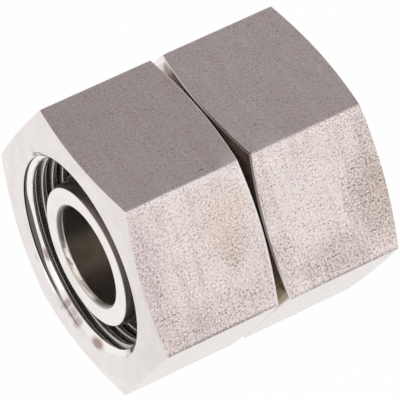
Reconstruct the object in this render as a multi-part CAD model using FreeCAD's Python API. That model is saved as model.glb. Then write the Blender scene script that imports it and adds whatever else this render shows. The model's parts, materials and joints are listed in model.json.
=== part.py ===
import FreeCAD, Part
import math
import os

# Straight swivel union for 25 mm tube, heavy series, stainless steel.
# Two union nuts sit back to back on one turned inner body. Each end of the
# body is a 24 degree cone with an O-ring in a groove. A wire ring in a second
# groove holds each nut on the body and takes its pull when it is tightened.
# Both nuts turn freely.
#
# Frame: X runs along the nuts, Y is level, Z is up. The origin is on the axis
# of the nuts, halfway between their outer faces. The union lies on a flat of
# both hexagons, and the loose body rests on the rear bores of the nuts, so
# its own axis is a little lower than theirs. All sizes are in millimetres.

# Union nuts, hexagon outside
across_flats = 46.0
nut_length = 23.6
gap_between_nuts = 0.2
hex_chamfer_angle = 15.0
chamfer_start_below_flat = 0.4

# Union nuts, inside, from the mouth to the rear. The thread is bored to its
# minor diameter here.
thread_major_dia = 36.0
thread_pitch = 2.0
thread_length = 11.0
mouth_past_thread = 0.65
relief_past_thread = 0.25
relief_width = 4.0
relief_corner_radius = 0.6
shoulder_angle = 45.0
rear_bore_chamfer = 0.5

# Wire rings that hold the nuts on the body. A ring goes in through the
# thread, so its outside follows from the thread.
wire_dia = 3.0
wire_ring_below_thread = 1.2
wire_ring_opening = 4.0
wire_clearance = 0.05
wire_groove_corner = 1.2
nut_end_play = 1.0
nut_side_play = 1.05

# Inner body: barrel, cone and flow bore
wire_centre_above_barrel = 0.25
cone_step_above_barrel = 0.25
cone_back_angle = 30.0
cone_half_angle = 12.0
cone_length = 8.0
cone_tip_rounding = 0.25
flow_bore_dia = 17.5
flow_bore_chamfer = 0.75
tip_recess = 1.5
rest_clearance = 0.05

# O-rings
o_ring_cord_dia = 2.4
o_ring_set_back = 3.2
o_ring_stand_out = 0.35
o_ring_side_clearance = 0.3
o_ring_floor_clearance = 0.02

# Directions, and how near two points of an outline are the same point
ORIGIN = FreeCAD.Vector(0, 0, 0)
AXIS = FreeCAD.Vector(1, 0, 0)
UP = FreeCAD.Vector(0, 0, 1)
SAME_POINT = 1e-6

# A 60 degree metric nut thread is this many pitches smaller at its minor
# diameter than at its major diameter
MINOR_BELOW_MAJOR = 1.0825

# Round blank that gives the hexagon its chamfered ends
blank_past_corners = 1.0

# Slopes of the conical faces
shoulder_slope = math.tan(math.radians(shoulder_angle))
cone_slope = math.tan(math.radians(cone_half_angle))
cone_back_slope = math.tan(math.radians(cone_back_angle))

# Radii, from the thread inwards: the wire ring passes the thread, the barrel
# carries the wire ring, and the rear bore of the nut passes over the barrel
hex_corner_radius = across_flats / math.sqrt(3)
thread_major_radius = thread_major_dia / 2
thread_minor_radius = (thread_major_dia - MINOR_BELOW_MAJOR * thread_pitch) / 2
mouth_radius = thread_major_radius + mouth_past_thread
relief_radius = thread_major_radius + relief_past_thread
wire_ring_radius = thread_minor_radius - wire_ring_below_thread - wire_dia / 2
barrel_radius = wire_ring_radius - wire_centre_above_barrel
cone_large_radius = barrel_radius + cone_step_above_barrel
cone_tip_radius = cone_large_radius - cone_length * cone_slope
rear_bore_radius = barrel_radius + nut_side_play
flow_bore_radius = flow_bore_dia / 2

# Places along X on the right-hand nut, from its mouth to its rear face
nut_rear_x = gap_between_nuts / 2
nut_mouth_x = nut_rear_x + nut_length
thread_start_x = nut_mouth_x - (mouth_radius - thread_minor_radius)
relief_start_x = thread_start_x - thread_length
shoulder_start_x = relief_start_x - relief_width
rear_bore_x = shoulder_start_x - (relief_radius - rear_bore_radius) / shoulder_slope

# The body lies on the rear bores, and its tips stand back from the nut faces.
# The cone ends at its large diameter, and a short slope leads to the barrel.
body_drop = nut_side_play - rest_clearance
body_tip_x = nut_mouth_x - tip_recess
cone_end_x = body_tip_x - cone_length
barrel_end_x = cone_end_x - cone_step_above_barrel / cone_back_slope


def cone_radius(x):
    """Radius of the cone at a place along X."""
    return cone_tip_radius + (body_tip_x - x) * cone_slope


# O-ring groove in the cone
o_ring_groove_width = o_ring_cord_dia + 2 * o_ring_side_clearance
o_ring_x = body_tip_x - o_ring_set_back - o_ring_groove_width / 2
o_ring_radius = cone_radius(o_ring_x) + o_ring_stand_out - o_ring_cord_dia / 2
o_ring_floor_radius = o_ring_radius - o_ring_cord_dia / 2 - o_ring_floor_clearance

# Wire ring groove in the barrel. The nut can move outwards by the end play
# before its shoulder meets the lowest part of the wire.
wire_lowest_radius = wire_ring_radius + body_drop
wire_off_shoulder = wire_dia / 2 / math.sin(math.radians(shoulder_angle))
wire_touch_x = rear_bore_x + (wire_lowest_radius - rear_bore_radius) / shoulder_slope + wire_off_shoulder
wire_x = wire_touch_x + nut_end_play
wire_groove_width = wire_dia + 2 * wire_clearance
wire_floor_radius = wire_ring_radius - wire_dia / 2 - wire_clearance


def corner(before, here, after, rounding):
    """First point, middle and last point of a rounded corner."""
    back = (before - here).normalize()
    ahead = (after - here).normalize()
    half_angle = back.getAngle(ahead) / 2
    cut = rounding / math.tan(half_angle)
    centre = here + (back + ahead).normalize() * (rounding / math.sin(half_angle))
    middle = centre + (here - centre).normalize() * rounding
    return here + back * cut, middle, here + ahead * cut


def outline(corners):
    """Closed wire in the XZ plane from corners given as (x, radius, rounding).

    A corner with a rounding becomes an arc that is tangent to both its sides.
    """
    points = [FreeCAD.Vector(x, 0, r) for x, r, rounding in corners]
    count = len(points)
    firsts = []
    lasts = []
    edges = []
    for i in range(count):
        here = points[i]
        rounding = corners[i][2]
        if rounding == 0:
            firsts.append(here)
            lasts.append(here)
            continue
        first, middle, last = corner(points[i - 1], here, points[(i + 1) % count], rounding)
        firsts.append(first)
        lasts.append(last)
        edges.append(Part.Arc(first, middle, last).toShape())
    for i in range(count):
        next_first = firsts[(i + 1) % count]
        if lasts[i].distanceToPoint(next_first) > SAME_POINT:
            edges.append(Part.LineSegment(lasts[i], next_first).toShape())
    return Part.Wire(Part.__sortEdges__(edges))


def turned(corners):
    """Solid turned about the X axis from an outline of corners."""
    return Part.Face(outline(corners)).revolve(ORIGIN, AXIS, 360)


def hexagon_bar():
    """Hexagon with flats at the top and bottom, chamfered round both ends."""
    points = []
    for i in range(7):
        angle = math.radians(60 * i)
        y = hex_corner_radius * math.cos(angle)
        z = hex_corner_radius * math.sin(angle)
        points.append(FreeCAD.Vector(nut_rear_x, y, z))
    bar = Part.Face(Part.makePolygon(points)).extrude(AXIS * nut_length)
    face_radius = across_flats / 2 - chamfer_start_below_flat
    blank_radius = hex_corner_radius + blank_past_corners
    depth = (blank_radius - face_radius) * math.tan(math.radians(hex_chamfer_angle))
    return bar.common(turned([
        (nut_rear_x, 0, 0),
        (nut_rear_x, face_radius, 0),
        (nut_rear_x + depth, blank_radius, 0),
        (nut_mouth_x - depth, blank_radius, 0),
        (nut_mouth_x, face_radius, 0),
        (nut_mouth_x, 0, 0),
    ]))


def nut_inside():
    """All that is turned out of the nut: mouth, thread, relief, shoulder and rear bore."""
    return turned([
        (nut_mouth_x, 0, 0),
        (nut_mouth_x, mouth_radius, 0),
        (thread_start_x, thread_minor_radius, 0),
        (relief_start_x, thread_minor_radius, 0),
        (relief_start_x, relief_radius, relief_corner_radius),
        (shoulder_start_x, relief_radius, relief_corner_radius),
        (rear_bore_x, rear_bore_radius, 0),
        (nut_rear_x + rear_bore_chamfer, rear_bore_radius, 0),
        (nut_rear_x, rear_bore_radius + rear_bore_chamfer, 0),
        (nut_rear_x, 0, 0),
    ])


def union_nut():
    """Right-hand nut, with its mouth towards +X."""
    return hexagon_bar().cut(nut_inside())


def coupling_body():
    """Turned body: a cone with two grooves at each end, and the flow bore through it."""
    wire_near = wire_x - wire_groove_width / 2
    wire_far = wire_x + wire_groove_width / 2
    o_ring_near = o_ring_x - o_ring_groove_width / 2
    o_ring_far = o_ring_x + o_ring_groove_width / 2
    right_end = [
        (wire_near, barrel_radius, 0),
        (wire_near, wire_floor_radius, wire_groove_corner),
        (wire_far, wire_floor_radius, wire_groove_corner),
        (wire_far, barrel_radius, 0),
        (barrel_end_x, barrel_radius, 0),
        (cone_end_x, cone_large_radius, 0),
        (o_ring_near, cone_radius(o_ring_near), 0),
        (o_ring_near, o_ring_floor_radius, 0),
        (o_ring_far, o_ring_floor_radius, 0),
        (o_ring_far, cone_radius(o_ring_far), 0),
        (body_tip_x, cone_tip_radius, cone_tip_rounding),
        (body_tip_x, flow_bore_radius + flow_bore_chamfer, 0),
        (body_tip_x - flow_bore_chamfer, flow_bore_radius, 0),
    ]
    left_end = [(-x, r, rounding) for x, r, rounding in reversed(right_end)]
    return turned(right_end + left_end)


def o_ring():
    """Right-hand O-ring in its groove."""
    return Part.makeTorus(o_ring_radius, o_ring_cord_dia / 2, FreeCAD.Vector(o_ring_x, 0, 0), AXIS)


def wire_ring():
    """Right-hand open ring of round wire, with its opening at the top."""
    opening_angle = math.degrees(wire_ring_opening / wire_ring_radius)
    centre = FreeCAD.Vector(wire_x, 0, wire_ring_radius)
    section = Part.Wire(Part.makeCircle(wire_dia / 2, centre, FreeCAD.Vector(0, 1, 0)))
    ring = Part.Face(section).revolve(ORIGIN, AXIS, 360 - opening_angle)
    ring.rotate(ORIGIN, AXIS, opening_angle / 2)
    return ring


def left_of(shape):
    """The same piece turned end for end, for the left-hand side."""
    turned_round = shape.copy()
    turned_round.rotate(ORIGIN, UP, 180)
    return turned_round


def lowered(shape):
    """A piece of the body group, moved down to where it rests in the nuts."""
    shape.translate(UP * -body_drop)
    return shape


right_nut = union_nut()
right_o_ring = o_ring()
right_wire_ring = wire_ring()

parts = {
    "union_nut_left": left_of(right_nut),
    "union_nut_right": right_nut,
    "coupling_body": lowered(coupling_body()),
    "o_ring_left": lowered(left_of(right_o_ring)),
    "o_ring_right": lowered(right_o_ring),
    "wire_ring_left": lowered(left_of(right_wire_ring)),
    "wire_ring_right": lowered(right_wire_ring),
}

os.makedirs("parts", exist_ok=True)
print(f"cone tip {2 * cone_tip_radius:.2f} mm, barrel {2 * barrel_radius:.2f} mm")
print(f"rear bore {2 * rear_bore_radius:.2f} mm, body lower than the nuts by {body_drop:.2f} mm")
for node, shape in parts.items():
    shape.exportStep(f"parts/{node}.step")
    box = shape.optimalBoundingBox(False)
    print(f"{node}: {shape.Volume:.0f} mm3, {box.XLength:.2f} x {box.YLength:.2f} x {box.ZLength:.2f} mm")
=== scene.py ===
# %% [markdown]
# # A straight swivel union in stainless steel
#
# The object is a straight swivel union for a 25 mm tube. Two hexagon union nuts sit back to back on one
# turned body. The body ends in a 24 degree cone with an O-ring on each side, and the nuts turn freely on
# it. The construction is already there as solids: their sizes, places and joints stay as they are. What is
# made here is the surface that a camera sees: broken edges, a real thread, turned and milled steel, and
# rubber.
#
# Lengths are written in millimetres, because that is how such a part is drawn, and turned to metres when a
# mesh is made. X runs along the nuts, Z is up, and the origin is on the axis of the nuts.

# %% Frame
import json
import math

import bmesh
import bpy
import numpy as np
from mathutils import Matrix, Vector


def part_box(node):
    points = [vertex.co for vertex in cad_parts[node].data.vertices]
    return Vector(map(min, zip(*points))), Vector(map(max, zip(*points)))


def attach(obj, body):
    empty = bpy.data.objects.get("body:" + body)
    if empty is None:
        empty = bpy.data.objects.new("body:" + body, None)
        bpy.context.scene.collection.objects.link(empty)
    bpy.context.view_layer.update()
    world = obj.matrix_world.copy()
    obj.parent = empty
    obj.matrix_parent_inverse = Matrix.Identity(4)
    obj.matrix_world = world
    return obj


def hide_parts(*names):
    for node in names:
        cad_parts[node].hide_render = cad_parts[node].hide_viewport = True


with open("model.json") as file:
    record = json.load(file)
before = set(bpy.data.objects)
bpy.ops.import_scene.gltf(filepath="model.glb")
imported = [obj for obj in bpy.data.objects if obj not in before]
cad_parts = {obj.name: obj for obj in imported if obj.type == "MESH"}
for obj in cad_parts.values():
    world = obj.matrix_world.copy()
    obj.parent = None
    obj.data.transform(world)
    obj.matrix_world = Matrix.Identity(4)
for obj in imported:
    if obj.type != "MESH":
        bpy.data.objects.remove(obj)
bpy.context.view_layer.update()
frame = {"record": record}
MM = 0.001

# %% [markdown]
# ## Sizes
#
# What can be measured on the solids is measured, so that a new piece always lies where its solid is. The
# rest are the sizes of the turned inside, which a box round the solid can't show. They are the ones that
# the part was drawn with.

# %% Sizes read from the solids


def box_in_mm(node):
    """Lowest and highest corner of a solid of the frame, in millimetres."""
    return [np.array(corner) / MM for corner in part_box(node)]


nut_low, nut_high = box_in_mm("union_nut_right")
across_flats = nut_high[2] - nut_low[2]
nut_rear_x = nut_low[0]
nut_mouth_x = nut_high[0]

body_low, body_high = box_in_mm("coupling_body")
body_tip_x = body_high[0]
body_axis_z = (body_low[2] + body_high[2]) / 2
cone_large_radius = (body_high[2] - body_low[2]) / 2

o_ring_low, o_ring_high = box_in_mm("o_ring_right")
o_ring_cord_dia = o_ring_high[0] - o_ring_low[0]
o_ring_x = (o_ring_low[0] + o_ring_high[0]) / 2
o_ring_radius = (o_ring_high[2] - o_ring_low[2] - o_ring_cord_dia) / 2

wire_low, wire_high = box_in_mm("wire_ring_right")
wire_dia = wire_high[0] - wire_low[0]
wire_x = (wire_low[0] + wire_high[0]) / 2
wire_ring_radius = body_axis_z - wire_low[2] - wire_dia / 2

flow_bore = next(mount for mount in frame["record"]["mounts"] if mount["name"] == "flow_bore")
flow_bore_radius = flow_bore["dims"]["r_mm"]
print(f"{across_flats:.2f} mm across flats, nuts from {nut_rear_x:.2f} to {nut_mouth_x:.2f} mm")
print(f"body axis {-body_axis_z:.2f} mm below that of the nuts, wire ring radius {wire_ring_radius:.2f} mm")

# %% Sizes of the turned forms
hex_chamfer_angle = math.radians(15)
chamfer_start_below_flat = 0.4
thread_major_radius = 18.0
thread_pitch = 2.0
thread_height = 1.0825
thread_bore_past_minor = 0.16
thread_cut_past_nominal = 0.15
thread_root_past_major = 0.1
thread_crest_rounding = 0.12
thread_runout = 0.25
thread_runout_angle = math.radians(-128)
thread_length = 11.0
mouth_past_thread = 0.65
relief_past_thread = 0.25
relief_width = 4.0
relief_corner_radius = 0.6
rear_bore_chamfer = 0.5
nut_side_play = 1.05

cone_step_above_barrel = 0.25
cone_half_angle = math.radians(12)
cone_back_angle = math.radians(30)
cone_length = 8.0
flow_bore_chamfer = 0.75
flow_bore_rounding = 1.0
o_ring_side_clearance = 0.3
o_ring_floor_clearance = 0.02
wire_clearance = 0.05
wire_groove_corner = 1.2
wire_ring_opening = 4.0

face_radius = across_flats / 2 - chamfer_start_below_flat
barrel_radius = cone_large_radius - cone_step_above_barrel
rear_bore_radius = barrel_radius + nut_side_play
thread_minor_radius = thread_major_radius - thread_height
mouth_radius = thread_major_radius + mouth_past_thread
relief_radius = thread_major_radius + relief_past_thread
thread_start_x = nut_mouth_x - (mouth_radius - thread_minor_radius)
relief_start_x = thread_start_x - thread_length
shoulder_start_x = relief_start_x - relief_width
rear_bore_x = shoulder_start_x - (relief_radius - rear_bore_radius)
print(f"thread from {relief_start_x:.2f} to {thread_start_x:.2f} mm, mouth radius {mouth_radius:.2f} mm")

# %% [markdown]
# ## Outlines with broken edges
#
# No machined edge is perfectly sharp. A tool leaves a tiny round, and that round catches the light as the
# fine bright line that makes metal look real. A Bevel modifier could add it, but on a thread or a groove it
# is hard to steer. Here each outline says for each of its corners how large the round is, so the edges are
# part of the drawing, as they are in a workshop.

# %% Rounded outline


def unit(vectors):
    """Vectors divided by their length, along the last axis."""
    return vectors / np.linalg.norm(vectors, axis=-1, keepdims=True)


def rounded(corners, steps=4):
    """Arc of steps + 1 points for each corner (x, radius, rounding) of a closed outline.

    a and b are the unit vectors from a corner to its two neighbours, and h is half the angle between them.
    The arc's centre is the corner + unit(a + b) * rounding / sin(h). Its ends are the corner
    + a * rounding / tan(h) and the corner + b * rounding / tan(h), and the points between turn evenly from
    one end to the other.
    """
    here = corners[..., :2]
    rounding = corners[..., 2:]
    a = unit(np.roll(here, 1, axis=-2) - here)
    b = unit(np.roll(here, -1, axis=-2) - here)
    half = np.arccos(np.sum(a * b, axis=-1, keepdims=True)) / 2
    centre = here + unit(a + b) * rounding / np.sin(half)
    first = here + a * rounding / np.tan(half) - centre
    last = here + b * rounding / np.tan(half) - centre
    turn = (np.pi - 2 * half)[..., None]
    t = np.linspace(0, 1, steps + 1)[:, None]
    spread = np.sin((1 - t) * turn) * first[..., None, :] + np.sin(t * turn) * last[..., None, :]
    return centre[..., None, :] + spread / np.sin(turn)


# %% [markdown]
# ## From a grid of points to a piece
#
# Every piece here is a closed outline carried round the axis, so its points form a grid: one row for each
# point of the outline and one column for each angle. Neighbours in the grid make four-sided faces. Points
# that fall on the same place are merged, and each point's normal is the mean of its faces' normals weighted
# by their area. That keeps large faces flat to the eye and leaves all the bending to the small rounds.

# %% Mesh helpers
merge_distance = 0.0005


def grid_faces(columns, rows, seam=None):
    """Faces between each column and the next, round both ways.

    Face (c, r) joins the points (c, r), (c + 1, r), (c + 1, r + 1) and (c, r + 1). Behind the last column
    comes column 0, whose rows are taken from seam, so that a helix can close one turn further on.
    """
    index = np.arange(columns * rows).reshape(columns, rows)
    first_again = index[0] if seam is None else index[0][seam]
    ahead = np.vstack([index[1:], first_again])
    corners = [index, ahead, np.roll(ahead, -1, axis=1), np.roll(index, -1, axis=1)]
    return np.stack(corners, axis=-1).reshape(-1, 4)


def area_weighted_normals(mesh):
    """For each point, the unit vector along the sum of normal times area of the faces round it."""
    count = len(mesh.polygons)
    normals = np.empty(count * 3)
    areas = np.empty(count)
    sides = np.empty(count, dtype=np.int32)
    corner_points = np.empty(len(mesh.loops), dtype=np.int32)
    mesh.polygons.foreach_get("normal", normals)
    mesh.polygons.foreach_get("area", areas)
    mesh.polygons.foreach_get("loop_total", sides)
    mesh.loops.foreach_get("vertex_index", corner_points)
    weighted = np.repeat(normals.reshape(-1, 3) * areas[:, None], sides, axis=0)
    total = np.zeros((len(mesh.vertices), 3))
    np.add.at(total, corner_points, weighted)
    return unit(total)


def full_turn(steps):
    """Evenly spaced angles round the circle, from 0."""
    return np.linspace(0, 2 * np.pi, steps, endpoint=False)


def add_object(name, data):
    """New object in the scene."""
    made = bpy.data.objects.new(name, data)
    bpy.context.scene.collection.objects.link(made)
    return made


def make_piece(name, points, faces, zones=None, flat_map=None):
    """Object from points in millimetres, with each face's finish and each face corner's place on a flat."""
    mesh = bpy.data.meshes.new(name)
    mesh.from_pydata((points * MM).tolist(), [], faces.tolist())
    if zones is not None:
        mesh.polygons.foreach_set("material_index", zones)
    if flat_map is not None:
        layer = mesh.uv_layers.new(name="flat_map")
        layer.uv.foreach_set("vector", flat_map.ravel())
    work = bmesh.new()
    work.from_mesh(mesh)
    bmesh.ops.remove_doubles(work, verts=work.verts, dist=merge_distance * MM)
    volume = work.calc_volume(signed=True) / MM**3
    if volume < 0:
        bmesh.ops.reverse_faces(work, faces=work.faces)
    open_edges = sum(not edge.is_manifold for edge in work.edges)
    work.to_mesh(mesh)
    work.free()
    mesh.polygons.foreach_set("use_smooth", np.ones(len(mesh.polygons), dtype=bool))
    mesh.normals_split_custom_set_from_vertices(area_weighted_normals(mesh).tolist())
    piece = add_object(name, mesh)
    print(f"{name}: {len(mesh.polygons)} faces, {abs(volume):.0f} mm3, {open_edges} open edges")
    return piece


# %% [markdown]
# ## The union nuts
#
# A union nut is sawn from hexagon bar and turned inside and at both ends. The turning tool cuts a 15 degree
# cone across the six corners, and where that cone meets the flats it leaves the curved edges that every nut
# has. Nobody has to draw those curves: if the depth of the chamfer is written as a function of the distance
# from the axis, they come out by themselves, because the corner is further out than the middle of a flat.
#
# So the outside is one function: for each angle, the distance of the hexagon from the axis. On a flat it is
# half the width over the cosine of the angle from the flat's middle, and on a corner it is a small circle.

# %% Hexagon
hex_edge_rounding = 0.28
flat_steps = 40
corner_steps = 5

corner_centre = (across_flats / 2 - hex_edge_rounding) / math.cos(math.radians(30))
corner_reach = math.radians(30) - math.atan2(corner_centre / 2, across_flats / 2)
on_flat = np.linspace(corner_reach, math.radians(60) - corner_reach, flat_steps + 1)
on_corner = np.linspace(-corner_reach, corner_reach, corner_steps + 1)[1:-1]
one_side = np.concatenate([on_corner, on_flat])
angles = (one_side + np.radians(60 * np.arange(6))[:, None]).ravel()
print(f"{len(angles)} columns of points, corners rounded over {2 * math.degrees(corner_reach):.2f} degrees")


def hexagon_radius(angle):
    """Distance of the hexagon from the axis.

    With p the angle from the nearest corner: half the width across flats / cos(30 degrees - p) on a flat, and
    d * cos(p) + sqrt(r^2 - (d * sin(p))^2) on a corner whose rounding r is centred at the distance d.
    """
    from_corner = np.abs((angle + np.radians(30)) % np.radians(60) - np.radians(30))
    flat = across_flats / 2 / np.cos(np.radians(30) - from_corner)
    inside_root = np.maximum(hex_edge_rounding**2 - (corner_centre * np.sin(from_corner)) ** 2, 0)
    round_corner = corner_centre * np.cos(from_corner) + np.sqrt(inside_root)
    return np.where(from_corner < corner_reach, round_corner, flat)


# %% [markdown]
# ## The thread
#
# An inside thread is a ridge that winds along the hole: 2 mm further for each turn, 60 degrees between its
# flanks, with a narrow flat on its crest and a narrower one at its root. A Screw modifier can wind such a
# profile, but then the ends of the thread have to be cut to fit the mouth. A height field needs no cutting:
# for each angle and each place along the axis it gives the radius of the wall, and the mouth's cone simply
# wins wherever it is wider. The rows of the grid wind along with the thread, so each edge of it gets its
# own row of points.
#
# Real threads have some room: the hole is bored a little wider than the minor diameter, the flanks are cut
# a little deeper, and the thread runs slightly out of true with its mouth. That is why the last turn shows
# as a groove along one side of the mouth's cone, which the mouth's finish paints dark as shade.

# %% Thread
row_places = np.array([0.0, 0.1, 0.18, 0.25, 0.32, 0.4, 0.5, 0.6, 0.7, 0.8, 0.88, 0.95, 0.985])
pitch_rows = np.concatenate([row_places, [1.0], 2.0 - row_places[:0:-1]]) * thread_pitch / 2
rows_per_turn = len(pitch_rows)
turns_of_thread = math.ceil((nut_mouth_x - relief_start_x) / thread_pitch) + 1
bored_radius = thread_minor_radius + thread_bore_past_minor


def mouth_cone_radius(x):
    """Radius of the 45 degree cone of the mouth at a place along X."""
    return mouth_radius - (nut_mouth_x - x)


def thread_radius(x, angle):
    """Radius of the threaded wall, and of the mouth's cone where that is wider.

    With d the distance along the axis from the nearest crest line, which moves one pitch for each turn, a
    flank lies at the minor radius + (d - pitch / 8) * tan(60 degrees) + how much deeper it was cut. With s
    its height above the bored hole, the crest is rounded by (s + sqrt(s^2 + c^2)) / 2, and the root is cut
    off level. Flanks and root run out by runout * cos(angle - direction of the runout).
    """
    along = (x - relief_start_x - thread_pitch * angle / (2 * np.pi)) % thread_pitch
    from_crest = np.minimum(along, thread_pitch - along)
    out_of_true = thread_runout * np.cos(angle - thread_runout_angle)
    deeper = thread_cut_past_nominal + out_of_true
    flank = thread_minor_radius + deeper + (from_crest - thread_pitch / 8) * math.tan(math.radians(60))
    rise = flank - bored_radius
    threaded = bored_radius + (rise + np.sqrt(rise**2 + thread_crest_rounding**2)) / 2
    root = thread_major_radius + thread_root_past_major + out_of_true
    return np.maximum(np.minimum(threaded, root), mouth_cone_radius(x))


def thread_rows(angle, last_x):
    """Places along X of the rows for each angle: all turns, wound along by it and held inside the thread."""
    turn = np.arange(turns_of_thread)[:, None] - 1
    rows = (relief_start_x + turn * thread_pitch + pitch_rows).ravel()
    wound = rows + thread_pitch * angle[:, None] / (2 * np.pi)
    return np.clip(wound, relief_start_x, last_x)


# %% Section of the nut for each angle
edge_break = 0.18
front_rim_break = 0.3
rear_rim_break = 0.1
bore_break = 0.08
outside_steps = 4


def nut_corners(angle, rear_break):
    """Corners (x, radius, rounding) of the closed section at each angle, with a stand-in for the thread.

    The chamfer's depth is (radius - face radius) * tan(15 degrees).
    """
    outer = hexagon_radius(angle)
    depth = (outer - face_radius) * math.tan(hex_chamfer_angle)
    corners = [
        (nut_mouth_x, face_radius, front_rim_break),
        (nut_mouth_x - depth, outer, edge_break),
        (nut_rear_x + depth, outer, rear_break),
        (nut_rear_x, face_radius, rear_rim_break),
        (nut_rear_x, rear_bore_radius + rear_bore_chamfer, bore_break),
        (nut_rear_x + rear_bore_chamfer, rear_bore_radius, bore_break),
        (rear_bore_x, rear_bore_radius, bore_break),
        (shoulder_start_x, relief_radius, relief_corner_radius),
        (relief_start_x, relief_radius, relief_corner_radius),
        (relief_start_x, thread_minor_radius, 0),
        (thread_start_x, thread_minor_radius, 0),
        (nut_mouth_x, mouth_radius, bore_break),
    ]
    filled = [[np.broadcast_to(value, outer.shape) for value in corner] for corner in corners]
    return np.moveaxis(np.array(filled), -1, 0)


def nut_section(angle, rear_break):
    """Points (x, radius) of the closed section at each angle, and the row where the thread starts."""
    arcs = rounded(nut_corners(angle, rear_break), outside_steps)
    count = len(angle)
    turned_and_milled = arcs[:, :9].reshape(count, -1, 2)
    mouth_edge = arcs[:, 11]
    x = thread_rows(angle, mouth_edge[0, 0, 0])
    thread = np.stack([x, thread_radius(x, angle[:, None])], axis=-1)
    return np.concatenate([turned_and_milled, thread, mouth_edge], axis=1), turned_and_milled.shape[1]


# %% [markdown]
# The left and the right nut are the same part. A mirror would turn its thread into a left-hand one, so the
# left nut is the right one turned end for end, which a minus sign on both X and Y does. A map is laid on
# the flats at the same time: one direction runs along the nut and the other across each flat, in
# millimetres. The milled finish follows that map, because the cutter crossed each flat in the same way.
#
# The two nuts differ only at the edge at their back: that of the right one is broken a little wider and
# painted dark as shade, and that of the left one is bright.

# %% Nut mesh
FLATS, TURNED, INSIDE, REAR, MOUTH, SHADED_EDGE = 0, 1, 2, 3, 4, 5
zone_tolerance = 0.001


def nut_points(angle, section):
    """The section's points (x, radius) carried to (x, radius * cos(angle), radius * sin(angle))."""
    x, radius = section[..., 0], section[..., 1]
    return np.stack([x, radius * np.cos(angle)[:, None], radius * np.sin(angle)[:, None]], axis=-1)


def nut_zones(section, faces, rear_edge):
    """Finish of each face. The rows of one corner's arc are followed by those of the next one.

    The broken rear edge has a finish of its own, because it is bright on one nut and painted dark as shade on
    the other. The mouth's cone crosses the rows of the thread, so its faces are those whose four points lie
    in its depth.
    """
    columns, rows = section.shape[:2]
    arc = outside_steps + 1
    row = np.arange(rows)
    zone = np.full(rows, TURNED)
    zone[(row >= arc + arc // 2) & (row < 2 * arc)] = FLATS
    zone[(row >= 2 * arc) & (row < 3 * arc - 1)] = rear_edge
    zone[(row >= 3 * arc - 1) & (row < 5 * arc)] = REAR
    zone[(row >= 5 * arc) & (row < rows - arc)] = INSIDE
    zones = np.tile(zone, columns)
    in_mouth = section[..., 0] > nut_mouth_x - (mouth_radius - bored_radius) - zone_tolerance
    threaded = np.tile((row >= 5 * arc) & (row < rows - arc), columns)
    zones[threaded & in_mouth.ravel()[faces].all(axis=1)] = MOUTH
    return zones


def nut_flat_map(points, section, offset):
    """Each face corner's place along the nut and across its flat, in millimetres.

    The second coordinate is the distance covered round the hexagon, added up from column to column.
    """
    rim = points[:, outside_steps + 1]
    steps = np.linalg.norm(np.roll(rim, -1, axis=0) - rim, axis=1)
    across = np.concatenate([[0], np.cumsum(steps)])
    along = section[..., 0] + offset
    after = np.roll(along, -1, axis=1)
    left = np.broadcast_to(across[:-1, None], along.shape)
    right = np.broadcast_to(across[1:, None], along.shape)
    ahead = np.roll(along, -1, axis=0)
    ahead_after = np.roll(ahead, -1, axis=1)
    corners = [(along, left), (ahead, right), (ahead_after, right), (after, left)]
    return np.stack([np.stack(corner, axis=-1) for corner in corners], axis=2)


def union_nut(name, end, map_offset, rear_break, rear_edge):
    """Nut with its mouth towards +X for end = 1, or turned end for end for end = -1."""
    section, thread_row = nut_section(angles, rear_break)
    points = nut_points(angles, section)
    columns, rows = section.shape[:2]
    thread_end = rows - outside_steps - 2
    threaded = slice(thread_row, thread_end + 1)
    seam = np.arange(rows)
    seam[threaded] = np.minimum(seam[threaded] + rows_per_turn, thread_end)
    faces = grid_faces(columns, rows, seam)
    zones = nut_zones(section, faces, rear_edge)
    flat_map = nut_flat_map(points, section, map_offset)
    placed = points.reshape(-1, 3) * (end, end, 1)
    return make_piece(name, placed, faces, zones, flat_map)


left_map = 200
nut_right = union_nut("union_nut_right_finished", 1, 0, rear_break=0.38, rear_edge=SHADED_EDGE)
nut_left = union_nut("union_nut_left_finished", -1, left_map, rear_break=0.25, rear_edge=TURNED)

# %% [markdown]
# ## The coupling body
#
# The body is one turned piece, so its outline carried round its own axis is all of it. The outline is
# written for the right-hand half, from the wire ring's groove to the flow bore, and mirrored for the other
# half. Because it is loose, the body lies a little lower than the nuts.

# %% Body
round_columns = 256


def cone_radius(x):
    """Radius of the sealing cone at a place along X."""
    return cone_large_radius - (x - (body_tip_x - cone_length)) * math.tan(cone_half_angle)


def body_corners():
    """Corners (x, radius, rounding) of the body's closed outline."""
    wire_groove = wire_dia / 2 + wire_clearance
    wire_floor = wire_ring_radius - wire_groove
    ring_groove = o_ring_cord_dia / 2 + o_ring_side_clearance
    ring_floor = o_ring_radius - o_ring_cord_dia / 2 - o_ring_floor_clearance
    cone_end_x = body_tip_x - cone_length
    right_end = np.array([
        (wire_x - wire_groove, barrel_radius, 0.08),
        (wire_x - wire_groove, wire_floor, wire_groove_corner),
        (wire_x + wire_groove, wire_floor, wire_groove_corner),
        (wire_x + wire_groove, barrel_radius, 0.08),
        (cone_end_x - cone_step_above_barrel / math.tan(cone_back_angle), barrel_radius, 0.1),
        (cone_end_x, cone_large_radius, 0.1),
        (o_ring_x - ring_groove, cone_radius(o_ring_x - ring_groove), 0.1),
        (o_ring_x - ring_groove, ring_floor, 0.2),
        (o_ring_x + ring_groove, ring_floor, 0.2),
        (o_ring_x + ring_groove, cone_radius(o_ring_x + ring_groove), 0.1),
        (body_tip_x, cone_radius(body_tip_x), 0.25),
        (body_tip_x, flow_bore_radius + flow_bore_chamfer, flow_bore_rounding),
        (body_tip_x - flow_bore_chamfer, flow_bore_radius, flow_bore_rounding),
    ])
    return np.concatenate([right_end, right_end[::-1] * (-1, 1, 1)])


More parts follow.
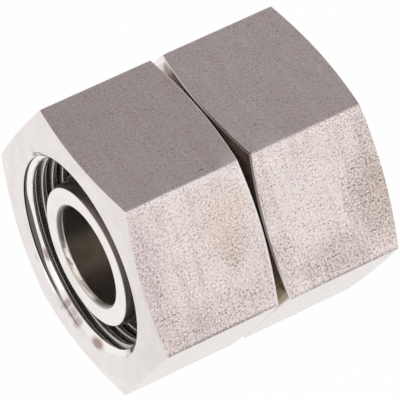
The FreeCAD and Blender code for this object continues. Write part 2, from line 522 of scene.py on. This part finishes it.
def turned_points(outline, axis_z):
    """An outline (x, radius) carried to (x, radius * cos(t), axis_z + radius * sin(t)) round the axis."""
    t = full_turn(round_columns)[:, None]
    x = np.broadcast_to(outline[:, 0], (round_columns, len(outline)))
    points = [x, outline[:, 1] * np.cos(t), axis_z + outline[:, 1] * np.sin(t)]
    return np.stack(points, axis=-1).reshape(-1, 3)


body_outline = rounded(body_corners()).reshape(-1, 2)
body = make_piece(
    "coupling_body_finished",
    turned_points(body_outline, body_axis_z),
    grid_faces(round_columns, len(body_outline)),
)

# %% [markdown]
# ## O-rings and wire rings
#
# An O-ring is a torus, and so is the wire ring, apart from the gap that lets it spring open. Both are a
# circle carried round the body's axis. The wire is cut off square, so the ends of its tube are closed with
# a round face each.

# %% Rings
cord_steps = 24


def ring_points(x, ring_radius, cord_radius, sweep):
    """Points on a tube bent round the body's axis.

    For t along the ring and s round the cord: (x + c * sin(s), R * cos(t), R * sin(t)) with
    R = ring radius + c * cos(s), where c is the cord's radius.
    """
    s = full_turn(cord_steps)
    radius = ring_radius + cord_radius * np.cos(s)
    t = sweep[:, None]
    along = np.broadcast_to(x + cord_radius * np.sin(s), (len(sweep), cord_steps))
    return np.stack([along, radius * np.cos(t), body_axis_z + radius * np.sin(t)], axis=-1).reshape(-1, 3)


def o_ring(name, end):
    """Closed ring in the groove of the cone at one end."""
    points = ring_points(end * o_ring_x, o_ring_radius, o_ring_cord_dia / 2, full_turn(round_columns))
    return make_piece(name, points, grid_faces(round_columns, cord_steps))


def wire_ring(name, end):
    """Open ring with its gap at the top. The round faces at its ends are fans from a point in the middle."""
    half_gap = wire_ring_opening / wire_ring_radius / 2
    sweep = np.linspace(np.pi / 2 + half_gap, np.pi * 5 / 2 - half_gap, round_columns)
    points = ring_points(end * wire_x, wire_ring_radius, wire_dia / 2, sweep)
    tube = grid_faces(round_columns, cord_steps)[:-cord_steps]
    ends = np.array([points[:cord_steps].mean(axis=0), points[-cord_steps:].mean(axis=0)])
    rim = np.arange(cord_steps)
    after = np.roll(rim, -1)
    first_centre = np.full(cord_steps, len(points))
    last_rim = rim + len(points) - cord_steps
    last_after = after + len(points) - cord_steps
    first_cap = np.stack([first_centre, rim, after], axis=1)
    last_cap = np.stack([first_centre + 1, last_after, last_rim], axis=1)
    faces = tube.tolist() + first_cap.tolist() + last_cap.tolist()
    return make_piece(name, np.concatenate([points, ends]), np.array(faces, dtype=object))


ends = {"left": -1, "right": 1}
o_rings = {side: o_ring(f"o_ring_{side}_finished", end) for side, end in ends.items()}
wire_rings = {side: wire_ring(f"wire_ring_{side}_finished", end) for side, end in ends.items()}

# %% [markdown]
# ## Who moves with whom
#
# Each finished piece stands for its solid and rides on the same body, so the nuts turn and the rest stays.

# %% Ride on the frame
for side, nut in (("left", nut_left), ("right", nut_right)):
    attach(nut, f"nut_{side}")
    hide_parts(f"union_nut_{side}")
    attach(o_rings[side], "coupling")
    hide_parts(f"o_ring_{side}")
    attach(wire_rings[side], "coupling")
    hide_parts(f"wire_ring_{side}")
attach(body, "coupling")
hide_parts("coupling_body")

# %% [markdown]
# ## Node helpers
#
# Materials are built from nodes in code. One short function makes a node and fills in its inputs, either
# with a plain value or with the output of another node, so a material reads from top to bottom like a
# recipe.

# %% Node helpers


def add_node(tree, kind, inputs, **settings):
    """New shader node with its settings, and with its inputs set to values or linked to other outputs."""
    made = tree.nodes.new("ShaderNode" + kind)
    for name, value in settings.items():
        setattr(made, name, value)
    for name, value in inputs.items():
        if isinstance(value, bpy.types.NodeSocket):
            tree.links.new(value, made.inputs[name])
        else:
            made.inputs[name].default_value = value
    return made


def new_material(name):
    """Empty material with an output, and its node tree."""
    material = bpy.data.materials.new(name)
    material.use_nodes = True
    material.node_tree.nodes.clear()
    return material, material.node_tree


def finish_surface(tree, shader):
    """Links a shader to the material's output."""
    add_node(tree, "OutputMaterial", {"Surface": shader.outputs[0]})


def object_mm(tree):
    """Object coordinates in millimetres."""
    place = add_node(tree, "TexCoord", {})
    return add_node(tree, "Mapping", {"Vector": place.outputs["Object"], "Scale": (1000,) * 3}).outputs[0]


def distance_from_axis(tree, axis_height):
    """Distance in millimetres from an axis along X at a height in millimetres."""
    moved = {"Vector": object_mm(tree), "Location": (0, 0, -axis_height)}
    centred = add_node(tree, "Mapping", moved).outputs[0]
    flat = add_node(tree, "VectorMath", {0: centred, 1: (0, 1, 1)}, operation="MULTIPLY").outputs[0]
    return add_node(tree, "VectorMath", {0: flat}, operation="LENGTH").outputs["Value"]


def noise(tree, vector, scale, detail=2.0, rough=0.5):
    """Grey noise from 0 to 1, with features about 1 / scale millimetres wide."""
    values = {"Vector": vector, "Scale": scale, "Detail": detail, "Roughness": rough}
    return add_node(tree, "TexNoise", values).outputs[0]


def stretched(tree, vector, scale):
    """The same coordinates, scaled by a factor of their own in each direction."""
    return add_node(tree, "Mapping", {"Vector": vector, "Scale": scale}).outputs[0]


def ramp(tree, value, low, high, to_low=0.0, to_high=1.0):
    """Smooth step of a value from low to high."""
    values = {"Value": value, "From Min": low, "From Max": high, "To Min": to_low, "To Max": to_high}
    return add_node(tree, "MapRange", values, interpolation_type="SMOOTHSTEP").outputs[0]


def blend_colour(tree, factor, first, second):
    """Mix of two colours by a factor."""
    return add_node(tree, "MixRGB", {"Fac": factor, "Color1": first, "Color2": second}).outputs[0]


def painted(tree, colour, layers):
    """A colour under layers, each given as how much it covers and the colour that it brings."""
    for cover, paint in layers:
        colour = blend_colour(tree, cover, colour, paint)
    return colour


def combine(tree, operation, first, second):
    """Sum, difference, largest or another plain result of two values."""
    made = tree.nodes.new("ShaderNodeMath")
    made.operation = operation
    for socket, value in zip(made.inputs, (first, second)):
        if isinstance(value, bpy.types.NodeSocket):
            tree.links.new(value, socket)
        else:
            socket.default_value = value
    return made.outputs[0]


def times(tree, first, second):
    """Product of two values."""
    return combine(tree, "MULTIPLY", first, second)


def coordinate(tree, vector, axis):
    """X, Y or Z of a vector."""
    return add_node(tree, "SeparateXYZ", {"Vector": vector}).outputs[axis]


def bump(tree, height, distance_mm):
    """Normal bent by a height of 0 to 1 that stands for so many millimetres."""
    return add_node(tree, "Bump", {"Height": height, "Distance": distance_mm * MM}).outputs[0]


def spot(tree, place, centre, half_size):
    """1 at a centre, falling to 0 at an oval rim. Centre and half sizes are in millimetres."""
    size = np.array(half_size)
    values = {"Vector": place, "Location": -np.array(centre) / size, "Scale": 1 / size}
    oval = add_node(tree, "Mapping", values).outputs[0]
    away = add_node(tree, "VectorMath", {0: oval}, operation="LENGTH").outputs["Value"]
    return ramp(tree, away, 1.0, 0.3)


def spots(tree, place, marks):
    """Largest of several spots, each given as a centre, half sizes and a strength from 0 to 1."""
    largest = 0.0
    for centre, half_size, strength in marks:
        weighted = times(tree, spot(tree, place, centre, half_size), strength)
        largest = combine(tree, "MAXIMUM", weighted, largest)
    return largest


# %% [markdown]
# ## Milled flats
#
# The flats keep the skin of the drawn and descaled bar: a fine grain of pits, broad streaks across each
# flat from the cutter, and a few warm stains. A picture of steel would show its seams here. Noise in three
# scales does not: a stretched one for the streaks, a soft one for the stains and a fine one for the pits,
# which also press into the surface as bump, so they answer to the light.

# %% Flats
worn_patches = [
    (left_map + 23.0, 3.0, 7.0, 9.0, 0.6),
    (left_map + 22.8, 12.0, 3.6, 13.0, 0.3),
    (left_map + 11.0, 3.5, 15.0, 4.5, 0.4),
    (left_map + 6.0, 13.0, 4.0, 5.0, 0.5),
    (20.8, 69.0, 7.0, 12.0, 1.0),
    (23.0, 60.0, 4.0, 11.0, 0.55),
    (12.0, 75.5, 14.0, 4.5, 0.6),
    (0.8, 60.0, 3.2, 7.0, 0.3),
    (1.5, 73.0, 4.0, 7.0, 0.5),
]
# Bright patches; the two long thin strips just under the top front edges are painted highlights.
bright_patches_and_painted_sheen = [
    (left_map + 1.0, 24.0, 5.0, 6.0, 0.8),
    (left_map + 12.0, 25.9, 18.0, 0.9, 0.8),
    (12.0, 53.9, 16.0, 0.7, 0.5),
    (5.5, 56.5, 5.0, 8.0, 0.4),
    (9.0, 65.0, 8.0, 8.0, 0.3),
]
# Painted reflections: dark lines along the front edge between the upper and the lower flats.
painted_dark_edge_reflections = [
    (left_map + 12.0, 0.0, 20.0, 0.8, 0.9),
    (left_map + 12.0, 159.3, 20.0, 0.5, 0.9),
    (12.0, 79.7, 20.0, 0.8, 0.8),
]
tan_stains = [
    (left_map + 7.0, 15.9, 5.5, 9.5, 0.6),
    (left_map + 3.2, 21.0, 2.6, 5.0, 0.5),
    (21.8, 68.0, 2.8, 12.0, 0.55),
]
lilac_stains = [
    (left_map + 21.5, 16.0, 4.0, 13.0, 0.6),
    (left_map + 15.9, 2.4, 6.0, 3.2, 0.5),
    (11.7, 77.2, 8.0, 2.4, 0.6),
    (left_map + 20.0, 47.0, 9.0, 9.0, 0.6),
]
bright_streaks = [
    (left_map + 14.2, 22.5, 2.4, 7.0, 0.7),
    (left_map + 9.5, 9.0, 1.6, 8.0, 0.5),
    (8.0, 62.0, 1.8, 7.0, 0.5),
]
small_nicks = [
    (left_map + 7.24, 27.85, 0.4, 0.25, 0.7),
    (left_map + 20.7, 10.6, 0.35, 0.25, 0.7),
    (16.9, 28.3, 0.25, 0.35, 0.6),
    (5.6, 47.9, 0.28, 0.28, 0.6),
    (1.2, 53.0, 0.45, 0.4, 0.8),
]


def flat_spots(tree, place, marks):
    """Spots on the flats, each given as places along and across, half sizes, and a strength."""
    return spots(tree, place, [((u, v, 0), (a, b, 1), strength) for u, v, a, b, strength in marks])


def skin_colour(tree, place):
    """Pinkish grey of the bar's skin, with streaks across each flat and fine scratches along it.

    The left nut, whose places on the map lie beyond 200 mm, is a little darker.
    """
    left = combine(tree, "GREATER_THAN", coordinate(tree, place, "X"), left_map / 2)
    dark = blend_colour(tree, left, (0.745, 0.635, 0.615, 1), (0.69, 0.583, 0.563, 1))
    light = blend_colour(tree, left, (0.805, 0.695, 0.675, 1), (0.745, 0.64, 0.62, 1))
    streaks = noise(tree, stretched(tree, place, (0.9, 0.05, 1.0)), 1.0, 3.0, 0.6)
    mottle = noise(tree, place, 0.22, 3.0, 0.6)
    scratches = noise(tree, stretched(tree, place, (0.04, 5.0, 1.0)), 1.0, 2.0)
    colour = blend_colour(tree, ramp(tree, streaks, 0.35, 0.65), dark, light)
    colour = blend_colour(tree, ramp(tree, mottle, 0.4, 0.7), colour, (0.70, 0.60, 0.60, 1))
    scratched = times(tree, ramp(tree, scratches, 0.66, 0.74), 0.3)
    return blend_colour(tree, scratched, colour, (0.86, 0.77, 0.75, 1))


def stains_and_painted_light(tree, place, colour):
    """Bright patches, torn stains along the streaks, and painted edge highlights and reflections, over a
    colour.
    """
    torn = ramp(tree, noise(tree, stretched(tree, place, (1.6, 0.5, 1.0)), 1.0, 4.0, 0.7), 0.25, 0.65)
    return painted(tree, colour, [
        (flat_spots(tree, place, bright_patches_and_painted_sheen), (1.0, 0.93, 0.91, 1)),
        (times(tree, flat_spots(tree, place, tan_stains), torn), (0.84, 0.66, 0.53, 1)),
        (times(tree, flat_spots(tree, place, lilac_stains), torn), (0.66, 0.55, 0.58, 1)),
        (times(tree, flat_spots(tree, place, bright_streaks), torn), (1.0, 0.92, 0.90, 1)),
        (flat_spots(tree, place, painted_dark_edge_reflections), (0.28, 0.25, 0.24, 1)),
    ])


def from_rear_edge(tree, x):
    """Millimetres from the left nut's rear edge, at |x| = rear + (radius - face radius) * tan(15 degrees)."""
    over = combine(tree, "SUBTRACT", distance_from_axis(tree, 0.0), face_radius)
    from_rear = combine(tree, "SUBTRACT", times(tree, x, -1.0), nut_rear_x)
    return combine(tree, "SUBTRACT", from_rear, times(tree, over, math.tan(hex_chamfer_angle)))


def flats_finish():
    """Streaked, pitted steel with stains: smooth on top, coarse and painted brighter beside, cleaner below.
    """
    material, tree = new_material("steel_flats")
    place = add_node(tree, "UVMap", {}, uv_map="flat_map").outputs[0]
    x = coordinate(tree, object_mm(tree), "X")
    height = coordinate(tree, object_mm(tree), "Z")
    skin = ramp(tree, height, -1.5, 0.0)
    upright = times(tree, ramp(tree, height, 22.95, 22.8), skin)
    worn = flat_spots(tree, place, worn_patches)
    grain = noise(tree, place, 2.5, 3.0, 0.8)
    streaks = noise(tree, stretched(tree, place, (0.8, 0.06, 1.0)), 1.0, 3.0, 0.6)
    streaked = times(tree, ramp(tree, streaks, 0.52, 0.36), times(tree, upright, 0.3))
    patchy = ramp(tree, noise(tree, place, 0.4, 2.0), 0.35, 0.65, 0.7, 1.3)

    # The upright flats get a brighter base colour than the top ones: painted light from the white wall they
    # face.
    colour = painted(tree, skin_colour(tree, place), [
        (times(tree, upright, 0.78), (1.0, 0.872, 0.842, 1)),
        (streaked, (0.58, 0.49, 0.48, 1)),
    ])
    colour = stains_and_painted_light(tree, place, colour)
    colour = blend_colour(tree, times(tree, worn, 0.36), colour, (0.42, 0.33, 0.28, 1))
    colour = blend_colour(tree, skin, (0.825, 0.775, 0.745, 1), colour)

    # On the left nut's upright flats, a painted highlight next to the rear edge.
    painted_rear_highlight = times(tree, ramp(tree, from_rear_edge(tree, x), 0.5, 0.3), upright)
    painted_rear_highlight = times(tree, painted_rear_highlight, combine(tree, "LESS_THAN", x, 0.0))
    coarse = combine(tree, "ADD", ramp(tree, upright, 0.0, 1.0, 0.6, 0.78), times(tree, worn, 0.8))
    pits = times(tree, ramp(tree, grain, 0.47, 0.68), times(tree, coarse, patchy))
    pits = times(tree, pits, ramp(tree, skin, 0.0, 1.0, 0.65, 1.0))
    # Bright specks where the grain is low, strongest on the upright flats, are painted glints.
    lit = times(tree, ramp(tree, upright, 0.0, 1.0, 0.35, 1.0), skin)
    painted_glints = times(tree, ramp(tree, grain, 0.48, 0.32), lit)
    colour = painted(tree, colour, [
        (pits, (0.30, 0.23, 0.21, 1)),
        (painted_glints, blend_colour(tree, upright, (0.88, 0.78, 0.76, 1), (1.0, 0.95, 0.92, 1))),
        (times(tree, painted_rear_highlight, 0.5), (1.0, 0.99, 0.98, 1)),
        (flat_spots(tree, place, small_nicks), (0.16, 0.13, 0.12, 1)),
    ])

    shader = add_node(tree, "BsdfPrincipled", {
        "Base Color": colour,
        "Metallic": 1.0,
        "Roughness": ramp(tree, noise(tree, place, 0.22, 3.0, 0.6), 0.3, 0.7, 0.25, 0.32),
        "Normal": bump(tree, combine(tree, "SUBTRACT", 1.0, grain), 0.06),
    })
    finish_surface(tree, shader)
    return material


# %% [markdown]
# ## Turned ends
#
# The faces, chamfers and the mouth were cut on a lathe. The tool leaves rings round the axis, far finer
# than the eye can part. They widen the highlight across them and hardly along them. Waves over the distance
# from the axis, as bump, do the same.
#
# Painted shade darkens the last turn of the thread and the gap between the nuts, a painted reflection darkens
# the cone, and there are a few dark spots, a fine burr with painted shade at the mouth and painted highlights
# at the bore. Each is a spot at a place on the piece, so it stays there when the nut turns.

# %% Turned steel


def turned_shader(tree, colour, shade, roughness, axis_height=0.0):
    """Steel with fine tool marks round an axis along X. Shade is how much the marks and clouds darken it."""
    radius = distance_from_axis(tree, axis_height)
    place = object_mm(tree)
    section = add_node(tree, "CombineXYZ", {"X": radius, "Y": coordinate(tree, place, "X")}).outputs[0]
    marks = noise(tree, section, 7.0, 1.0)
    cloud = noise(tree, place, 0.3, 3.0, 0.6)
    ringed = times(tree, ramp(tree, marks, 0.45, 0.7), 0.5)
    dull = combine(tree, "ADD", ramp(tree, cloud, 0.35, 0.7), ringed)
    darkened = blend_colour(tree, times(tree, dull, shade), colour, (0.2, 0.17, 0.16, 1))
    return add_node(tree, "BsdfPrincipled", {
        "Base Color": darkened,
        "Metallic": 1.0,
        "Roughness": ramp(tree, cloud, 0.3, 0.7, roughness - 0.03, roughness + 0.04),
        "Normal": bump(tree, marks, 0.004),
    })


def turned_finish(name, colour, shade, roughness, axis_height=0.0):
    """Turned steel in one colour."""
    material, tree = new_material(name)
    finish_surface(tree, turned_shader(tree, colour, shade, roughness, axis_height))
    return material


def body_finish():
    """Turned steel: bright end faces, a painted dark reflection on the cone, a brown bore edge, painted
    highlights.
    """
    material, tree = new_material("steel_body")
    place = object_mm(tree)
    from_middle = combine(tree, "ABSOLUTE", coordinate(tree, place, "X"), 0.0)
    height = coordinate(tree, place, "Z")
    radius = distance_from_axis(tree, body_axis_z)
    # The bore's edge is dark brown, with a patchy painted highlight low down on the far side.
    highlight_patches = ramp(tree, noise(tree, place, 0.35, 2.0, 0.6), 0.36, 0.5)
    to_the_left = ramp(tree, coordinate(tree, place, "Y"), -3.0, -0.5)
    painted_bore_edge_highlight = times(tree, highlight_patches, times(tree, ramp(tree, height, -4.0, -7.0), to_the_left))
    edge = blend_colour(tree, painted_bore_edge_highlight, (0.10, 0.08, 0.065, 1), (0.84, 0.765, 0.68, 1))
    # The cone is painted dark, darker on top: a painted reflection of the dark thread round it.
    cone = blend_colour(tree, ramp(tree, height, -10.0, -4.0), (0.46, 0.42, 0.39, 1), (0.28, 0.247, 0.226, 1))
    at_face = ramp(tree, from_middle, body_tip_x - 0.2, body_tip_x - 0.04)
    colour = blend_colour(tree, at_face, cone, (0.885, 0.84, 0.81, 1))
    past_edge = ramp(tree, radius, flow_bore_radius + 0.15, flow_bore_radius + 0.7)
    colour = blend_colour(tree, past_edge, edge, colour)
    # A painted highlight across the middle of the flow bore.
    gleam = spot(tree, place, (-17.0, 6.2, -7.2), (12.0, 5.2, 5.2))
    bore = blend_colour(tree, gleam, (0.74, 0.695, 0.645, 1), (1.0, 0.94, 0.87, 1))
    past_bore = ramp(tree, radius, flow_bore_radius, flow_bore_radius + 0.12)
    colour = blend_colour(tree, past_bore, bore, colour)
    finish_surface(tree, turned_shader(tree, colour, 0.06, 0.2, body_axis_z))
    return material


# Dark spots on the mouth's cone of the left nut.
mouth_dark_spots = [
    ((-22.9, 5.0, -17.2), (1.1, 1.1, 1.6), 0.7),
    ((-23.1, 1.2, -18.0), (1.1, 1.5, 1.6), 0.65),
    ((-22.9, 3.1, -17.7), (1.0, 1.8, 1.4), 0.5),
    ((-23.1, -5.2, -17.3), (0.9, 2.8, 1.8), 0.95),
    ((-22.35, 12.4, -12.0), (0.5, 1.8, 1.8), 0.9),
]
# A burr on the left nut's mouth edge, painted dark as the shade that lies along that edge.
burr_radius = 18.68
burr_angles = np.radians(np.arange(42.0, 54.0, 0.8))
burr_shade = [
    ((-nut_mouth_x, burr_radius * math.cos(angle), burr_radius * math.sin(angle)), (0.3, 0.34, 0.34), 0.85)
    for angle in burr_angles
]
# Then painted shade at three places on the mouth's edge, for a wider rounding mirroring something dark, and
# nicks.
face_nicks_and_painted_shade = burr_shade + [
    ((-nut_mouth_x, 13.45, -13.05), (0.4, 0.9, 0.9), 0.5),
    ((-nut_mouth_x, 5.5, -18.1), (0.4, 0.7, 0.7), 0.5),
    ((-nut_mouth_x, 1.3, -18.8), (0.4, 1.1, 0.5), 0.4),
    ((-nut_mouth_x, 14.2, 13.2), (0.4, 0.25, 0.45), 0.6),
    ((-nut_mouth_x, 7.4, 24.0), (0.4, 0.25, 0.25), 0.8),
    ((-nut_mouth_x, -19.7, 9.2), (0.4, 0.25, 0.25), 0.8),
    ((-nut_mouth_x, -26.4, 0.8), (0.6, 0.4, 0.4), 0.8),
]


def mouth_finish():
    """Bright turned cone of the mouth. The last turn's groove is painted dark as shade, and there are dark
    spots.
    """
    material, tree = new_material("steel_mouth")
    place = object_mm(tree)
    from_middle = combine(tree, "ABSOLUTE", coordinate(tree, place, "X"), 0.0)
    radius = distance_from_axis(tree, 0.0)
    on_cone = combine(tree, "SUBTRACT", from_middle, nut_mouth_x - mouth_radius)
    below_cone = ramp(tree, combine(tree, "SUBTRACT", radius, on_cone), 0.01, 0.06)
    # Painted shade: the groove of the last turn is nearly black, spread up the flank in one place and
    # stronger higher up.
    groove_shade_spread = spot(tree, place, (-22.7, 15.8, -9.0), (3.0, 6.0, 9.0))
    up_the_flank = combine(tree, "ADD", radius, times(tree, groove_shade_spread, 0.45))
    at_root = ramp(tree, up_the_flank, thread_major_radius - 0.05, thread_major_radius + 0.1)
    groove_shade_strength = ramp(tree, coordinate(tree, place, "Z"), -17.6, -16.0, 0.45, 0.92)
    groove = times(tree, times(tree, below_cone, at_root), groove_shade_strength)
    behind_face = ramp(tree, from_middle, nut_mouth_x - 0.35, nut_mouth_x - 0.7)
    colour = painted(tree, (0.83, 0.79, 0.77, 1), [
        (behind_face, (0.95, 0.895, 0.855, 1)),
        (spots(tree, place, mouth_dark_spots), (0.37, 0.26, 0.24, 1)),
        (groove, (0.06, 0.05, 0.045, 1)),
    ])
    finish_surface(tree, turned_shader(tree, colour, 0.06, 0.16))
    return material


def face_finish():
    """Turned front face and its chamfer, with painted shade along the burred mouth edge and a few nicks."""
    material, tree = new_material("steel_turned")
    place = object_mm(tree)
    beside = ramp(tree, coordinate(tree, place, "Y"), -12.0, -20.0)
    colour = painted(tree, (0.83, 0.78, 0.765, 1), [
        (beside, (0.775, 0.725, 0.71, 1)),
        (spots(tree, place, face_nicks_and_painted_shade), (0.32, 0.28, 0.26, 1)),
    ])
    finish_surface(tree, turned_shader(tree, colour, 0.06, 0.27))
    return material


# Two darker spots of the painted shade in the gap between the nuts.
gap_dark_spots = [
    ((0.7, -24.7, 1.7), (0.8, 1.2, 1.3), 0.8),
    ((0.6, 11.5, 21.8), (0.8, 1.4, 1.0), 0.5),
]


def rear_finish():
    """Rear chamfer, face and bore edge: painted shade in the gap, dark above and near, painted light low and
    far.
    """
    material, tree = new_material("steel_rear")
    place = object_mm(tree)
    across = coordinate(tree, place, "Y")
    height = coordinate(tree, place, "Z")
    # Painted shade and light in the gap: darker higher up and on the near side, bright low down and on the
    # far side.
    colour = painted(tree, (0.50, 0.455, 0.42, 1), [
        (ramp(tree, height, 3.0, -1.0), (0.60, 0.555, 0.48, 1)),
        (ramp(tree, height, -5.0, -9.0), (0.94, 0.92, 0.90, 1)),
        (ramp(tree, across, 3.0, 8.0), (0.58, 0.53, 0.51, 1)),
        (ramp(tree, across, 10.0, 13.0), (0.93, 0.88, 0.86, 1)),
        (spots(tree, place, gap_dark_spots), (0.12, 0.10, 0.085, 1)),
    ])
    finish_surface(tree, turned_shader(tree, colour, 0.15, 0.15))
    return material


def shaded_edge_finish():
    """Broken rear edge, painted dark as shade on top on the near side, and light below and on the far side.
    """
    material, tree = new_material("steel_oily")
    place = object_mm(tree)
    # Painted shade on the edge where it faces the gap, except below and on the far side.
    below = ramp(tree, coordinate(tree, place, "Z"), 8.0, 1.0)
    unshaded = combine(tree, "MAXIMUM", below, ramp(tree, coordinate(tree, place, "Y"), -6.0, 5.0))
    colour = blend_colour(tree, unshaded, (0.24, 0.21, 0.20, 1), (0.80, 0.73, 0.71, 1))
    finish_surface(tree, turned_shader(tree, colour, 0.15, 0.25))
    return material


# %% [markdown]
# ## Rubber and wire
#
# The O-rings are dark green rubber with a faint bloom, and the wire is drawn steel, hidden under the nuts.

# %% Rubber


def rubber_finish():
    """Dark green rubber, slightly uneven."""
    material, tree = new_material("green_rubber")
    place = object_mm(tree)
    cloud = noise(tree, place, 0.6, 3.0)
    colour = blend_colour(tree, ramp(tree, cloud, 0.35, 0.7), (0.02, 0.11, 0.07, 1), (0.05, 0.17, 0.115, 1))
    shader = add_node(tree, "BsdfPrincipled", {
        "Base Color": colour,
        "Roughness": ramp(tree, cloud, 0.3, 0.7, 0.38, 0.5),
        "Normal": bump(tree, noise(tree, place, 6.0, 2.0), 0.006),
    })
    finish_surface(tree, shader)
    return material


# %% Finishes on the pieces
steel_flats = flats_finish()
steel_turned = face_finish()
steel_inside = turned_finish("steel_inside", (0.62, 0.58, 0.555, 1), 0.15, 0.25)
steel_rear = rear_finish()
steel_mouth = mouth_finish()
steel_oily = shaded_edge_finish()
steel_body = body_finish()
steel_wire = turned_finish("steel_wire", (0.66, 0.65, 0.64, 1), 0.1, 0.3, body_axis_z)
rubber = rubber_finish()

for nut in (nut_left, nut_right):
    for finish in (steel_flats, steel_turned, steel_inside, steel_rear, steel_mouth, steel_oily):
        nut.data.materials.append(finish)
body.data.materials.append(steel_body)
for side in ("left", "right"):
    o_rings[side].data.materials.append(rubber)
    wire_rings[side].data.materials.append(steel_wire)
print("finishes:", [material.name for material in bpy.data.materials])

# %% [markdown]
# ## Floor, room and light
#
# Steel shows the room more than itself. The union lies in a wide white bowl: the floor and a low wall that
# turns up round it and is a little lower in front. Above it the room is a plain grey, and that is what the
# top flats show, while the upright flats show the white wall. The floor is white to the camera and to
# reflections, and for the rest it is an ordinary pale floor that takes the union's shadow. Two large lamps
# stand above it. The larger a lamp is, the softer are its shadow and its image in the steel.

# %% Floor
floor_z = nut_low[2]
bowl_radius = 3000.0
bowl_rings = 40
bowl_columns = 96
bowl_flat_share = 0.55
bowl_rise = 0.43
bowl_rise_varies = 0.1
bowl_low_side = math.radians(-68)
bowl_plain_share = 0.985


def bowl_points():
    """Rings round the origin: flat up to a share of the radius, then rising as (r - flat part)^2.

    The rise is lower on one side: it is the mean rise - variation * cos(t - direction of the low side).
    """
    share = np.linspace(0, 1, bowl_rings)[:, None]
    t = full_turn(bowl_columns)
    over = np.maximum(share - bowl_flat_share, 0) / (1 - bowl_flat_share)
    rise = bowl_rise - bowl_rise_varies * np.cos(t - bowl_low_side)
    height = floor_z + rise * bowl_radius * over**2
    ring = [share * bowl_radius * np.cos(t), share * bowl_radius * np.sin(t), height]
    return np.stack(ring, axis=-1)


def make_bowl():
    """White bowl, from its middle ring outwards."""
    points = bowl_points()
    index = np.arange(points.shape[0] * points.shape[1]).reshape(points.shape[:2])
    inner, outer = index[:-1], index[1:]
    faces = np.stack([inner, outer, np.roll(outer, -1, axis=1), np.roll(inner, -1, axis=1)], axis=-1)
    mesh = bpy.data.meshes.new("floor_bowl")
    mesh.from_pydata((points.reshape(-1, 3) * MM).tolist(), [], faces.reshape(-1, 4).tolist())
    mesh.shade_smooth()
    bowl = add_object("floor_bowl", mesh)
    return bowl


def bowl_finish():
    """White floor: shaded for light that falls on it, nearly plain white for camera and reflections."""
    material, tree = new_material("white_floor")
    path = add_node(tree, "LightPath", {})
    seen = combine(tree, "MAXIMUM", path.outputs["Is Camera Ray"], path.outputs["Is Glossy Ray"])
    seen = combine(tree, "MAXIMUM", seen, path.outputs["Is Transmission Ray"])
    shaded = add_node(tree, "BsdfDiffuse", {"Color": (0.9, 0.9, 0.9, 1)})
    plain = add_node(tree, "Emission", {"Color": (1, 1, 1, 1), "Strength": 1.0})
    share = times(tree, seen, bowl_plain_share)
    mixed = add_node(tree, "MixShader", {0: share, 1: shaded.outputs[0], 2: plain.outputs[0]})
    finish_surface(tree, mixed)
    return material


floor = make_bowl()
floor.data.materials.append(bowl_finish())
print(f"white bowl of {bowl_radius * MM:.0f} m radius, floor at {floor_z:.1f} mm")

# %% Room
room_grey = (0.40, 0.40, 0.40, 1)


def make_room():
    """Grey room above the wall, white where the camera looks past it."""
    world = bpy.data.worlds.new("room")
    world.use_nodes = True
    tree = world.node_tree
    tree.nodes.clear()
    path = add_node(tree, "LightPath", {})
    colour = blend_colour(tree, path.outputs["Is Camera Ray"], room_grey, (1, 1, 1, 1))
    background = add_node(tree, "Background", {"Color": colour, "Strength": 1.0})
    add_node(tree, "OutputWorld", {"Surface": background.outputs[0]})
    bpy.context.scene.world = world


make_room()

# %% Lamps


def add_softbox(name, place, size, power):
    """Square area lamp at a place in metres, aimed at the union."""
    lamp = bpy.data.lights.new(name, "AREA")
    lamp.size = size
    lamp.energy = power
    holder = add_object(name, lamp)
    direction = -np.array(place)
    across = math.hypot(direction[0], direction[1])
    pitch = math.atan2(across, -direction[2])
    turn = math.atan2(direction[1], direction[0]) - math.pi / 2
    holder.location = place
    holder.rotation_euler = (pitch, 0, turn)


add_softbox("softbox_left", (-1.6, -0.9, 1.7), 2.8, 16.0)
add_softbox("softbox_right", (2.0, -0.3, 1.6), 2.1, 12.0)
print("lamps:", [f"{lamp.name} {lamp.size:.1f} m {lamp.energy:.0f} W" for lamp in bpy.data.lights])

# %% [markdown]
# ## Camera
#
# The photograph was taken with a long lens from the left front and well above. Place, angles and lens were
# fitted to the corners of the two hexagons.

# %% Camera
camera_place = (-0.28919, -0.44394, 0.58323)
camera_angles = (42.2626, -0.5821, -32.4726)
camera_lens = 422.8

camera_data = bpy.data.cameras.new("camera")
camera_data.sensor_width = 36.0
camera_data.lens = camera_lens
camera_data.clip_end = 20.0
camera = add_object("camera", camera_data)
camera.location = camera_place
camera.rotation_euler = [math.radians(angle) for angle in camera_angles]
bpy.context.scene.camera = camera
print(f"camera {math.hypot(*camera_place):.2f} m away with a lens of {camera_lens} mm")

bpy.context.scene.view_settings.view_transform = "Standard"
